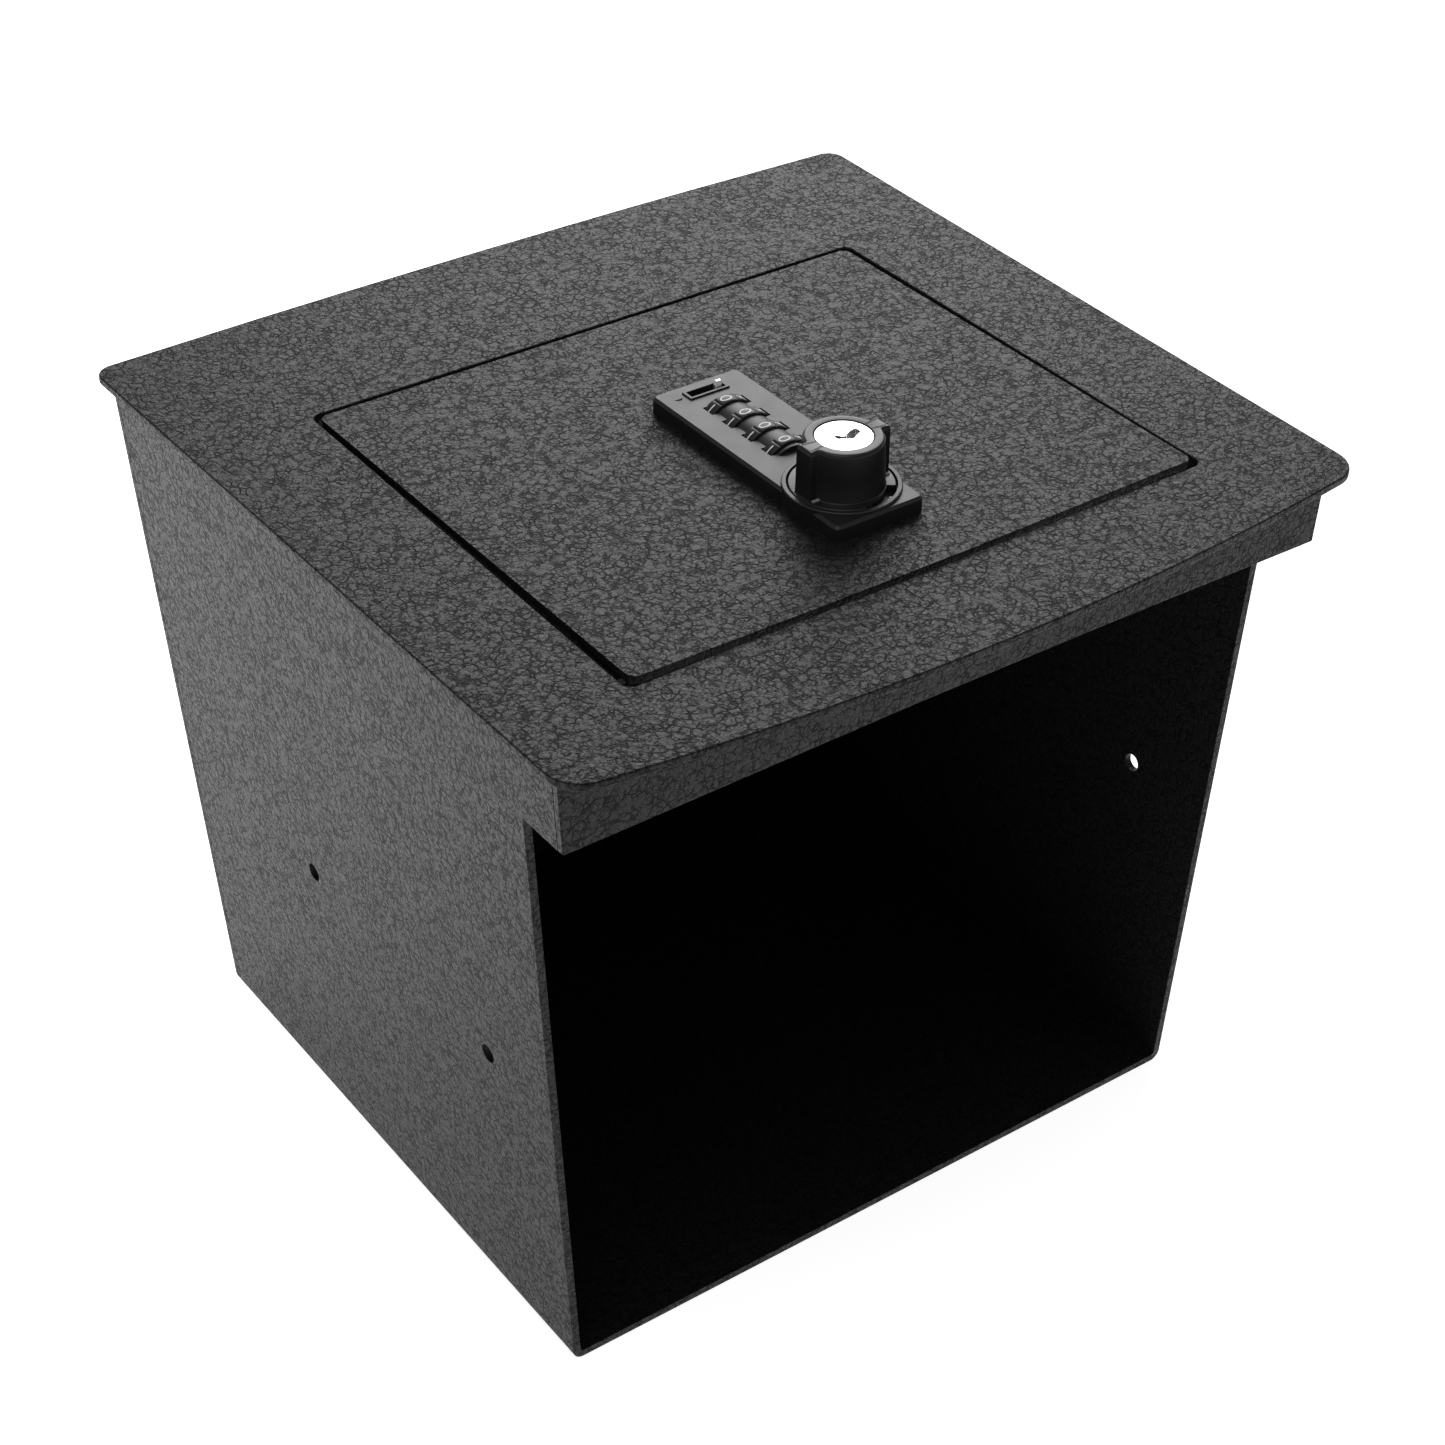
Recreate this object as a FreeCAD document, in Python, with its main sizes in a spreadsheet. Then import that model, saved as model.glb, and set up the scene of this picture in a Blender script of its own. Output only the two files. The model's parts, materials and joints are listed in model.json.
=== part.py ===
import FreeCAD, Part
import Sketcher
import os
import re

os.makedirs("parts", exist_ok=True)

# Lockable drop-in vault box: a flared, open-fronted steel box under an
# overhanging top flange, with a hinged lid that carries a four-dial lock.
# Lengths are millimetres. X is the width, -Y the open front, +Z up.
# Sizes are laid out with y = 0 at the front edge of the side walls and are
# shifted so that the origin is the bottom centre of the whole object.

doc = FreeCAD.newDocument("vault_box")

DIMS = [
    ("sheet", 2.8, "steel sheet with its powder coat"),
    ("base_half", 130.0, "half width across the side walls, at the floor"),
    ("flare_half", 147.2, "half width across the side walls, at the flange top"),
    ("height_all", 263.6, "floor underside to flange top"),
    ("depth_low", 231.9, "wall front edge to back face, at the floor"),
    ("depth_high", 247.4, "wall front edge to back face, at the flange top"),
    ("fold_radius", 4.0, "outside radius of the two floor folds"),
    ("tab_forward", 20.7, "front lip face ahead of the wall front edge"),
    ("lip_low", 232.3, "underside of the front lip, at its ends"),
    ("lip_arch", 1.4, "rise of the lip underside at mid width"),
    ("flange_half_front", 150.8, "half width of the top flange, front"),
    ("flange_half_back", 153.3, "half width of the top flange, back"),
    ("flange_front", 42.2, "front edge of the flange at mid width"),
    ("flange_back", 249.8, "back edge of the flange at mid width"),
    ("front_bow_radius", 1007.0, "plan radius of the flange front edge"),
    ("back_bow_radius", 3835.0, "plan radius of the flange back edge"),
    ("front_corner", 12.0, "corner radius of the flange, front"),
    ("back_corner", 6.5, "corner radius of the flange, back"),
    ("opening_half", 109.45, "half width of the lid opening at mid depth"),
    ("opening_flare", 0.65, "opening half width grows this much to the front, and shrinks to the back"),
    ("opening_front", 0.8, "opening front edge ahead of the wall front edge"),
    ("opening_back", 180.8, "opening back edge"),
    ("opening_corner", 3.2, "corner radius of the opening"),
    ("lid_half", 107.15, "half width of the lid at mid depth"),
    ("lid_flare", 0.4, "lid half width grows this much to the front, and shrinks to the back"),
    ("lid_front", 1.0, "lid front edge at its corners"),
    ("lid_back", 179.2, "lid back edge"),
    ("lid_corner", 3.0, "corner radius of the lid"),
    ("lid_bow", 1.2, "bulge of the lid front edge at mid width"),
    ("lid_lift", 0.45, "angle that the lid stands proud at its front, degrees"),
    ("pivot_y", 167.2, "lid hinge axis, back from the wall front edge"),
    ("pivot_z", 256.8, "lid hinge axis, above the floor underside"),
    ("pin_radius", 2.0, "hinge pin"),
    ("running_gap", 0.05, "radial clearance of a running fit"),
    ("hole_radius", 3.25, "wall fixing holes"),
    ("hole_first", 36.4, "first wall hole, back from the wall front edge"),
    ("hole_second", 146.4, "second wall hole"),
    ("hole_height", 112.3, "wall holes above the floor underside"),
    ("lock_x", 0.45, "lock centre line, right of the lid's"),
    ("case_half", 17.15, "half width of the lock case"),
    ("case_front", 24.5, "lock case front end"),
    ("case_back", 122.6, "lock case back end"),
    ("case_height", 5.5, "lock case above the lid"),
    ("knob_y", 44.2, "knob axis"),
    ("ring_radius", 18.8, "round boss under the knob"),
    ("ring_inner", 17.3, "inside of the boss rim"),
    ("ring_height", 6.5, "boss rim above the lid"),
    ("pocket_floor", 3.9, "floor of the boss pocket above the lid"),
    ("skirt_radius", 16.8, "knob skirt"),
    ("knob_low", 13.4, "knob body radius at the skirt"),
    ("knob_high", 12.8, "knob body radius at the top"),
    ("knob_top", 23.0, "knob top above the lid"),
    ("wing_reach", 15.6, "half span of the knob wings"),
    ("wing_width", 7.4, "width of the knob wings"),
    ("plug_radius", 9.15, "key plug"),
    ("shaft_radius", 7.0, "knob shaft"),
    ("dial_radius", 10.5, "number dials"),
    ("dial_width", 4.7, "number dials"),
    ("dial_drop", 2.3, "dial axis below the lid top"),
    ("dial_first", 104.2, "first dial, the one nearest the window"),
    ("dial_pitch", 10.4, "dial spacing"),
    ("slot_width", 5.5, "dial slot in the case"),
    ("slot_radius", 11.0, "hollow around each dial"),
    ("hump_radius", 9.6, "arched ridge between the dials"),
    ("spindle_radius", 1.5, "dial spindle"),
    ("cam_reach", 56.0, "latch cam, axis to tip"),
    ("cam_thick", 2.5, "latch cam"),
]

sheet = doc.addObject("Spreadsheet::Sheet", "Dims")
V = {}
for i, (name, value, note) in enumerate(DIMS, start=1):
    sheet.set("A%d" % i, name)
    sheet.set("B%d" % i, "%g" % value)
    sheet.set("C%d" % i, note)
    sheet.setAlias("B%d" % i, name)
    V[name] = value
n = len(DIMS) + 1
sheet.set("A%d" % n, "shift_y")
sheet.set("B%d" % n, "=-(flange_back - flange_front) / 2")
sheet.setAlias("B%d" % n, "shift_y")
doc.recompute()

ROOT = ("create(<<placement>>; create(<<vector>>; 0; Dims.shift_y; 0); "
        "create(<<rotation>>; create(<<vector>>; 1; 0; 0); 0))")
LID = ("create(<<placement>>; create(<<vector>>; 0; Dims.shift_y; 0); "
       "create(<<rotation>>; create(<<vector>>; 1; 0; 0); -Dims.lid_lift); "
       "create(<<vector>>; 0; Dims.pivot_y; Dims.pivot_z))")

LOCK = LID.replace("<<vector>>; 0; Dims.shift_y", "<<vector>>; Dims.lock_x; Dims.shift_y")

NAMES = re.compile(r"\b(" + "|".join(sorted(V, key=len, reverse=True)) + r")\b")
count = [0]


def fx(text):
    """A spreadsheet formula in plain dimension names."""
    return NAMES.sub(lambda m: "Dims." + m.group(1), str(text))


def num(text):
    return float(sheet_value(str(text)))


def sheet_value(text):
    """Value of a plain sum of dimension names, read back from the sheet."""
    count[0] += 1
    cell = "E%d" % count[0]
    sheet.set(cell, "=" + text)
    sheet.recompute()
    return sheet.get(cell)


def tag(stem):
    count[0] += 1
    return "%s_%d" % (stem, count[0])


def box(x0, x1, y0, y1, z0, z1):
    o = doc.addObject("Part::Box", tag("block"))
    o.setExpression("Length", fx("(%s) - (%s)" % (x1, x0)))
    o.setExpression("Width", fx("(%s) - (%s)" % (y1, y0)))
    o.setExpression("Height", fx("(%s) - (%s)" % (z1, z0)))
    o.setExpression("Placement.Base.x", fx(x0))
    o.setExpression("Placement.Base.y", fx(y0))
    o.setExpression("Placement.Base.z", fx(z0))
    return o


def turned(o, way):
    if way == "x":
        o.Placement.Rotation = FreeCAD.Rotation(FreeCAD.Vector(0, 1, 0), 90)
    elif way == "y":
        o.Placement.Rotation = FreeCAD.Rotation(FreeCAD.Vector(1, 0, 0), -90)
    return o


def cyl(radius, length, x, y, z, way="z"):
    """A cylinder that starts at x, y, z and runs towards + along way."""
    o = turned(doc.addObject("Part::Cylinder", tag("round")), way)
    o.setExpression("Radius", fx(radius))
    o.setExpression("Height", fx(length))
    o.setExpression("Placement.Base.x", fx(x))
    o.setExpression("Placement.Base.y", fx(y))
    o.setExpression("Placement.Base.z", fx(z))
    return o


def cone(low, high, length, x, y, z, way="z"):
    o = turned(doc.addObject("Part::Cone", tag("taper")), way)
    o.setExpression("Radius1", fx(low))
    o.setExpression("Radius2", fx(high))
    o.setExpression("Height", fx(length))
    o.setExpression("Placement.Base.x", fx(x))
    o.setExpression("Placement.Base.y", fx(y))
    o.setExpression("Placement.Base.z", fx(z))
    return o


def flared(half_low, half_high, front, back_low, back_high, low, high):
    """A block whose sides and back lean out from z = low to z = high."""
    o = doc.addObject("Part::Wedge", tag("flared"))
    o.Placement.Rotation = FreeCAD.Rotation(FreeCAD.Vector(1, 0, 0), 90)
    for prop, text in (("Xmin", "-(%s)" % half_low), ("Xmax", half_low),
                       ("X2min", "-(%s)" % half_high), ("X2max", half_high),
                       ("Ymin", low), ("Ymax", high),
                       ("Zmin", "-(%s)" % back_low), ("Zmax", "-(%s)" % front),
                       ("Z2min", "-(%s)" % back_high), ("Z2max", "-(%s)" % front)):
        o.setExpression(prop, fx(text))
    return o


def tapered(half_front, half_back, front, back, low, high):
    """A flat block whose half width changes from the front to the back."""
    o = doc.addObject("Part::Wedge", tag("tapered"))
    for prop, text in (("Xmin", "-(%s)" % half_front), ("Xmax", half_front),
                       ("X2min", "-(%s)" % half_back), ("X2max", half_back),
                       ("Ymin", front), ("Ymax", back),
                       ("Zmin", low), ("Zmax", high), ("Z2min", low), ("Z2max", high)):
        o.setExpression(prop, fx(text))
    return o


def fuse(*parts):
    o = doc.addObject("Part::MultiFuse", tag("joined"))
    o.Shapes = list(parts)
    o.Refine = True
    return o


def cut(base, *tools):
    tool = tools[0] if len(tools) == 1 else fuse(*tools)
    o = doc.addObject("Part::Cut", tag("cut"))
    o.Base = base
    o.Tool = tool
    o.Refine = True
    return o


def common(*parts):
    o = doc.addObject("Part::MultiCommon", tag("shared"))
    o.Shapes = list(parts)
    o.Refine = True
    return o


def soften(base, radius, test, kind="Part::Fillet"):
    """Round or chamfer the edges of base that pass the test."""
    doc.recompute()
    r = num(radius)
    edges = [(i, r, r) for i, e in enumerate(base.Shape.Edges, start=1) if test(e)]
    if not edges:
        raise SystemExit("no edges to soften on " + base.Name)
    o = doc.addObject(kind, tag("soft"))
    o.Base = base
    o.Edges = edges
    return o


def upright(e):
    a, b = e.Vertexes[0].Point, e.Vertexes[-1].Point
    return abs(a.x - b.x) < 1e-4 and abs(a.y - b.y) < 1e-4 and abs(a.z - b.z) > 1e-3


def near(e, axis, value, tol=0.02):
    bb = e.BoundBox
    lo, hi = {"x": (bb.XMin, bb.XMax), "y": (bb.YMin, bb.YMax), "z": (bb.ZMin, bb.ZMax)}[axis]
    return abs(lo - value) < tol and abs(hi - value) < tol


NODES = []


def node(label, o, where=ROOT):
    """Give a finished sub-part its label and its place."""
    if o.TypeId not in ("Part::Cut", "Part::MultiFuse", "Part::MultiCommon", "PartDesign::Body"):
        o = fuse(o, o_copy(o))
    o.Label = label
    o.setExpression("Placement", where)
    NODES.append(o)
    return o


def o_copy(o):
    return common(o, box("-400", "400", "-400", "400", "-50", "400"))


def prism(label, where, points, low, high, bow=None, corner=None, holes=()):
    """A PartDesign body: a closed outline on the XY plane, padded from low to high.

    points are (x, y) formulas in order; bow names the side, by its first
    point, that is an arc and the formula of its rise."""
    body = doc.addObject("PartDesign::Body", tag("body"))
    plane = [f for f in body.Origin.OriginFeatures if f.Role == "XY_Plane"][0]
    sk = body.newObject("Sketcher::SketchObject", tag("outline"))
    sk.AttachmentSupport = (plane, [""])
    sk.MapMode = "FlatFace"
    sk.setExpression("AttachmentOffset.Base.z", fx(low))
    vec = FreeCAD.Vector
    pts = [vec(num(x), num(y), 0) for x, y in points]
    m = len(pts)
    ids = []
    for i in range(m):
        a, b = pts[i], pts[(i + 1) % m]
        if bow and bow[0] == i:
            rise = num(bow[1])
            d = b - a
            out = vec(d.y, -d.x, 0).normalize()
            mid = (a + b) * 0.5 + out * rise
            ids.append(sk.addGeometry(Part.Arc(a, mid, b), False))
        else:
            ids.append(sk.addGeometry(Part.LineSegment(a, b), False))
    arc_start_end = {}
    for i in ids:
        g = sk.Geometry[i]
        if g.TypeId == "Part::GeomArcOfCircle":
            first = sk.getPoint(i, 1)
            k = ids.index(i)
            arc_start_end[i] = (1, 2) if (first - pts[k]).Length < 1e-6 else (2, 1)
        else:
            arc_start_end[i] = (1, 2)
    for k, i in enumerate(ids):
        j = ids[(k + 1) % m]
        sk.addConstraint(Sketcher.Constraint("Coincident", i, arc_start_end[i][1], j, arc_start_end[j][0]))
    for k, i in enumerate(ids):
        p = arc_start_end[i][0]
        c = sk.addConstraint(Sketcher.Constraint("DistanceX", -1, 1, i, p, pts[k].x))
        sk.setExpression("Constraints[%d]" % c, fx(points[k][0]))
        c = sk.addConstraint(Sketcher.Constraint("DistanceY", -1, 1, i, p, pts[k].y))
        sk.setExpression("Constraints[%d]" % c, fx(points[k][1]))
    for k, i in enumerate(ids):
        if bow and bow[0] == k:
            half = (pts[(k + 1) % m] - pts[k]).Length / 2
            rise = num(bow[1])
            c = sk.addConstraint(Sketcher.Constraint("Radius", i, (half * half + rise * rise) / (2 * rise)))
            sk.setExpression("Constraints[%d]" % c,
                             "(%g ^ 2 + (%s) ^ 2) / (2 * (%s))" % (half, fx(bow[1]), fx(bow[1])))
    for (x, y, r) in holes:
        i = sk.addGeometry(Part.Circle(vec(num(x), num(y), 0), vec(0, 0, 1), num(r)), False)
        c = sk.addConstraint(Sketcher.Constraint("Radius", i, num(r)))
        sk.setExpression("Constraints[%d]" % c, fx(r))
        c = sk.addConstraint(Sketcher.Constraint("DistanceX", -1, 1, i, 3, num(x)))
        sk.setExpression("Constraints[%d]" % c, fx(x))
        c = sk.addConstraint(Sketcher.Constraint("DistanceY", -1, 1, i, 3, num(y)))
        sk.setExpression("Constraints[%d]" % c, fx(y))
    pad = body.newObject("PartDesign::Pad", tag("pad"))
    pad.Profile = sk
    pad.setExpression("Length", fx("(%s) - (%s)" % (high, low)))
    doc.recompute()
    if corner:
        names = []
        for i, e in enumerate(pad.Shape.Edges, start=1):
            if upright(e) and any((e.Vertexes[0].Point - vec(p.x, p.y, e.Vertexes[0].Point.z)).Length < 1e-3 for p in pts):
                names.append("Edge%d" % i)
        fil = body.newObject("PartDesign::Fillet", tag("corners"))
        fil.Base = (pad, names)
        fil.setExpression("Radius", fx(corner))
        doc.recompute()
    body.Label = label
    body.setExpression("Placement", where)
    NODES.append(body)
    return body


# ---------------------------------------------------------------- steel box
TOP = "height_all - sheet"
half_under = "base_half + (flare_half - base_half) * (height_all - sheet) / height_all"
back_under = "depth_low + (depth_high - depth_low) * (height_all - sheet) / height_all"


def outer(front):
    block = flared("base_half", half_under, front, "depth_low", back_under, "0", TOP)
    return soften(block, "fold_radius", lambda e: near(e, "z", 0) and (
        abs(e.Vertexes[0].Point.x - e.Vertexes[-1].Point.x) < 1e-6
        and abs(e.Vertexes[0].Point.y - e.Vertexes[-1].Point.y) > 1))


# inner faces: the cavity runs out of the front, the back and the top
cavity = flared("base_half - sheet + 0.18", half_under + " - sheet + 0.37", "-100",
                "depth_low + 60", back_under + " + 60", "sheet", "height_all + 3")
inner_fold = soften(cavity, "fold_radius - sheet", lambda e: near(e, "z", V["sheet"]) and (
    abs(e.Vertexes[0].Point.x - e.Vertexes[-1].Point.x) < 1e-6))

# the slanted plane between the U-shaped shell and the back panel
ahead = flared("base_half + 60", "flare_half + 60", "-100", "depth_low - sheet",
               back_under + " - sheet", "0", TOP)
behind = flared("base_half + 60", "flare_half + 60", "-100", "depth_low - sheet",
                back_under + " - sheet", "0", TOP)
below_lip = box("-200", "200", "-100", "0", "-5", "lip_low")
holes = [cyl("hole_radius", "400", "-200", y, "hole_height", "x") for y in ("hole_first", "hole_second")]
node("body_shell", cut(common(outer("-(tab_forward - sheet)"), ahead), inner_fold, below_lip, *holes))
node("back_panel", cut(outer("0"), behind))

# front lip: a strip across the ends of the two wall tabs
lip_block = flared("base_half", half_under, "-tab_forward", "-(tab_forward - sheet)", "-(tab_forward - sheet)", "0", TOP)
lip_under = box("-200", "200", "-100", "0", "-5", "lip_low")
arch_radius = "(140 ^ 2 + lip_arch ^ 2) / (2 * lip_arch)"
lip_arc = cyl(arch_radius, "60", "0", "-50", "lip_low + lip_arch - " + arch_radius, "y")
node("front_lip", cut(lip_block, lip_under, lip_arc))

# top flange with the lid opening
slab = tapered("flange_half_front", "flange_half_back", "-flange_front", "flange_back", TOP, "height_all")
front_arc = cyl("front_bow_radius", "20", "0", "front_bow_radius - flange_front", "height_all - 10")
back_arc = cyl("back_bow_radius", "20", "0", "flange_back - back_bow_radius", "height_all - 10")
plate = common(slab, front_arc, back_arc)
plate = soften(plate, "front_corner", lambda e: upright(e) and e.Vertexes[0].Point.y < 0)
plate = soften(plate, "back_corner", lambda e: upright(e) and e.Vertexes[0].Point.y > 200)
hatch = tapered("opening_half + opening_flare", "opening_half - opening_flare", "-opening_front", "opening_back",
                "height_all - 20", "height_all + 20")
hatch = soften(hatch, "opening_corner", upright)
node("top_frame", cut(plate, hatch))

# strike strip for the latch cam, under the front border
prism("latch_keeper", ROOT, [("-27", "-16"), ("27", "-16"), ("27", "-3.5"), ("-27", "-3.5")],
      "height_all - 2 * sheet", TOP, corner="3")

# hinge brackets, pins, rest tabs and pads, in mirror pairs
for side, s in (("left", -1), ("right", 1)):
    def span(a, b):
        return (a, b) if s > 0 else ("-(%s)" % b, "-(%s)" % a)

    bx = span("opening_half + 0.35", "opening_half + 0.35 + sheet")
    lug = fuse(box(bx[0], bx[1], "pivot_y - 9", "pivot_y + 9", "pivot_z", TOP),
               common(cyl("7", "sheet", bx[0], "pivot_y", "pivot_z", "x"),
                      box("-200", "200", "100", "230", "200", "pivot_z + 1")))
    node("hinge_bracket_" + side,
         cut(lug, cyl("pin_radius", "40", "-130" if s < 0 else "90", "pivot_y", "pivot_z", "x")))

    px = span("opening_half - 6.6", "opening_half + 0.35 + sheet")
    hx = span("opening_half + 0.35 + sheet", "opening_half + 1.75 + sheet")
    shank = cyl("pin_radius", "(%s) - (%s)" % (px[1], px[0]), px[0], "pivot_y", "pivot_z", "x")
    head = cyl("3.4", "1.4", hx[0], "pivot_y", "pivot_z", "x")
    node("hinge_pin_" + side, fuse(shank, head))

    tx = span("opening_half - 9.45", "opening_half + 9")
    tab = box(tx[0], tx[1], "8", "28", "height_all - 2 * sheet", TOP)
    tab = soften(tab, "4", lambda e: upright(e) and abs(e.Vertexes[0].Point.x) < V["opening_half"])
    node("lid_rest_" + side, common(tab, box("-200", "200", "0", "40", "200", "300")))

    cx = "%d * 104" % s
    pad = cyl("2.5", "0.85", cx, "18", TOP)
    node("rest_pad_" + side, fuse(pad, cyl("2.2", "0.95", cx, "18", TOP)))

    # ears on the lid run on the pins
    ex = span("lid_half - 3.6", "lid_half - 0.8")
    ear = fuse(box(ex[0], ex[1], "pivot_y - 10", "pivot_y + 4.5", "pivot_z", TOP),
               common(cyl("4.5", "2.8", ex[0], "pivot_y", "pivot_z", "x"),
                      box("-200", "200", "100", "230", "200", "pivot_z + 1")),
               cyl("3.9", "2.7", span("lid_half - 0.8", "lid_half + 1.9")[0], "pivot_y", "pivot_z", "x"))
    node("hinge_ear_" + side,
         cut(ear, cyl("pin_radius + running_gap", "40", "-130" if s < 0 else "90", "pivot_y", "pivot_z", "x")), LID)

# ---------------------------------------------------------------- lid
lid_blank = tapered("lid_half + lid_flare", "lid_half - lid_flare", "lid_front", "lid_back", TOP, "height_all")
lid_blank = soften(lid_blank, "lid_corner", upright)
bow_radius = "((lid_half - 3) ^ 2 + lid_bow ^ 2) / (2 * lid_bow)"
bow_trim = box("-(lid_half - 3)", "lid_half - 3", "lid_front - lid_bow - 1", "lid_front + 6", TOP, "height_all")
bulge = common(cyl(bow_radius, "sheet", "0", "lid_front - lid_bow + " + bow_radius, TOP), bow_trim)
DIALS_LOW = "dial_first - 3 * dial_pitch - 7.2"
DIALS_HIGH = "dial_first + 7.8"
lid_cuts = [box("lock_x - 12.2", "lock_x + 12.2", DIALS_LOW + " - 0.2", DIALS_HIGH + " + 0.2", "0", "300"),
            cyl("8", "60", "lock_x", "knob_y", "240"),
            cyl("2.2", "60", "lock_x", "30", "240"),
            cyl("2.2", "60", "lock_x - 11", "117", "240"),
            cyl("2.2", "60", "lock_x + 11", "117", "240")]
node("lid_panel", cut(fuse(lid_blank, bulge), *lid_cuts), LID)

# ---------------------------------------------------------------- lock
AXIS_Z = "height_all - dial_drop"
case = box("-case_half", "case_half", "case_front", "case_back", "height_all", "height_all + case_height")
case = soften(case, "2.2", upright)
case = soften(case, "0.9", lambda e: near(e, "z", V["height_all"] + V["case_height"]), "Part::Chamfer")
ring = cyl("ring_radius", "ring_height", "0", "knob_y", "height_all")
ring = soften(ring, "0.5", lambda e: near(e, "z", V["height_all"] + V["ring_height"]))
ridge = common(cyl("hump_radius", "38.4", "0", "dial_first - 3 * dial_pitch - 4", AXIS_Z, "y"),
               box("-20", "20", "50", "120", "height_all", "height_all + 20"))
rim = box("-7.8", "7.5", "113.1", "118.2", "height_all", "height_all + case_height + 0.55")
case_cuts = [cyl("ring_inner", "20", "0", "knob_y", "height_all + pocket_floor"),
             cyl("shaft_radius + running_gap", "40", "0", "knob_y", "height_all - 5"),
             box("-6.9", "6.6", "113.9", "117.4", "height_all + 2.2", "height_all + 20"),
             cyl("2.1", "4", "0", "30", "height_all"),
             cyl("2.1", "1.9", "-11", "117", "height_all"),
             cyl("2.1", "1.9", "11", "117", "height_all")]
for k in range(4):
    y = "dial_first - %d * dial_pitch - slot_width / 2" % k
    case_cuts.append(cyl("slot_radius", "slot_width", "0", y, AXIS_Z, "y"))
node("lock_case", cut(fuse(case, ring, ridge, rim), *case_cuts), LOCK)

# rear body under the lid: mounting flange, dial tub and shaft boss
LID_UNDER = "height_all - sheet"
flange = box("-16", "16", "26", "121.5", "height_all - sheet - 2.2", LID_UNDER)
flange = soften(flange, "2.5", upright)
tub = box("-11.9", "11.9", DIALS_LOW, DIALS_HIGH, "height_all - 14.8", "height_all")
tub = soften(tub, "3", lambda e: near(e, "z", V["height_all"] - 14.8) and abs(e.Vertexes[0].Point.x - e.Vertexes[-1].Point.x) < 1e-6)
wide = box("-14.2", "14.2", DIALS_LOW, DIALS_HIGH, "height_all - 11", LID_UNDER)
boss = cyl("10.4", "5", "0", "knob_y", "height_all - sheet - 4.4")
rear_cuts = [cyl("slot_radius", "4 * dial_pitch + 0.6", "0", "dial_first - 3 * dial_pitch - dial_pitch / 2 - 0.3", AXIS_Z, "y"),
             cyl("shaft_radius + running_gap", "30", "0", "knob_y", "240"),
             cyl("spindle_radius", "80", "0", "50", AXIS_Z, "y"),
             cyl("2.2", "30", "0", "30", "240"),
             cyl("2.2", "30", "-11", "117", "240"),
             cyl("2.2", "30", "11", "117", "240")]
boss_trim = common(boss, box("-20", "20", "20", "70", "240", LID_UNDER))
node("lock_body", cut(fuse(flange, tub, wide, boss_trim), *rear_cuts), LOCK)

spin = cyl("spindle_radius", "(%s) - (%s)" % (DIALS_HIGH, DIALS_LOW), "0", DIALS_LOW, AXIS_Z, "y")
node("dial_spindle", common(spin, box("-9", "9", "20", "130", "200", "300")), LOCK)

for k in range(4):
    y = "dial_first - %d * dial_pitch - dial_width / 2" % k
    wheel = cyl("dial_radius", "dial_width", "0", y, AXIS_Z, "y")
    wheel = soften(wheel, "0.35", lambda e: len(e.Vertexes) == 1 and abs(e.BoundBox.XMax - V["dial_radius"]) < 0.01, "Part::Chamfer")
    node("dial_%d" % (k + 1), cut(wheel, cyl("spindle_radius + running_gap", "40", "0", "dial_first - %d * dial_pitch - 20" % k, AXIS_Z, "y")), LOCK)

for label, x, y, reach in (("lock_screw_front", "0", "30", "3.8"), ("lock_screw_left", "-11", "117", "1.7"), ("lock_screw_right", "11", "117", "1.7")):
    head = cyl("3.4", "1.9", x, y, "height_all - sheet - 4.1")
    head = soften(head, "0.5", lambda e: near(e, "z", V["height_all"] - V["sheet"] - 4.1), "Part::Chamfer")
    stem = cyl("2", "sheet + 2.2 + %s" % reach, x, y, "height_all - sheet - 2.2")
    drive = cyl("1.2", "1.2", x, y, "height_all - sheet - 4.6")
    node(label, cut(fuse(head, stem), drive), LOCK)

# small metal slide in the window at the back end of the case
sled = box("2.8", "6.2", "114.2", "117.1", "height_all + 2.4", "height_all + 4.4")
fin = doc.addObject("Part::Wedge", tag("fin"))
fin.Placement.Rotation = FreeCAD.Rotation(FreeCAD.Vector(1, 0, 0), 90)
for prop, text in (("Xmin", "3.0"), ("Xmax", "6.2"), ("X2min", "4.4"), ("X2max", "6.2"),
                   ("Ymin", "height_all + 4.4"), ("Ymax", "height_all + 7.2"),
                   ("Zmin", "-117.1"), ("Zmax", "-114.9"), ("Z2min", "-117.1"), ("Z2max", "-116.1")):
    fin.setExpression(prop, fx(text))
node("reset_slide", fuse(sled, fin), LOCK)

# ---------------------------------------------------------------- knob
skirt = cyl("skirt_radius", "2.2", "0", "knob_y", "height_all + pocket_floor + 0.3")
skirt = soften(skirt, "0.4", lambda e: near(e, "z", V["height_all"] + V["pocket_floor"] + 2.5))
grip = cone("knob_low", "knob_high", "knob_top - pocket_floor - 0.3", "0", "knob_y", "height_all + pocket_floor + 0.3")
wings = box("-wing_reach", "wing_reach", "knob_y - wing_width / 2", "knob_y + wing_width / 2",
            "height_all + pocket_floor + 0.3", "height_all + knob_top - 0.8")
wings = soften(wings, "0.8", upright)
wings = soften(wings, "0.6", lambda e: near(e, "z", V["height_all"] + V["knob_top"] - 0.8), "Part::Chamfer")
grip = soften(grip, "1.2", lambda e: near(e, "z", V["height_all"] + V["knob_top"]))
knob_cuts = [cyl("plug_radius + running_gap", "40", "0", "knob_y", "height_all + 7.2"),
             cyl("shaft_radius", "6", "0", "knob_y", "height_all")]
notch = common(cut(cyl("skirt_radius + 1", "4", "0", "knob_y", "height_all + pocket_floor"),
                   cyl("knob_low + 0.5", "4", "0", "knob_y", "height_all + pocket_floor")),
               box("-3", "16", "knob_y - 20", "knob_y - 7", "height_all", "height_all + 12"))
node("lock_knob", cut(fuse(skirt, grip, wings), *(knob_cuts + [notch])), LOCK)

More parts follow.
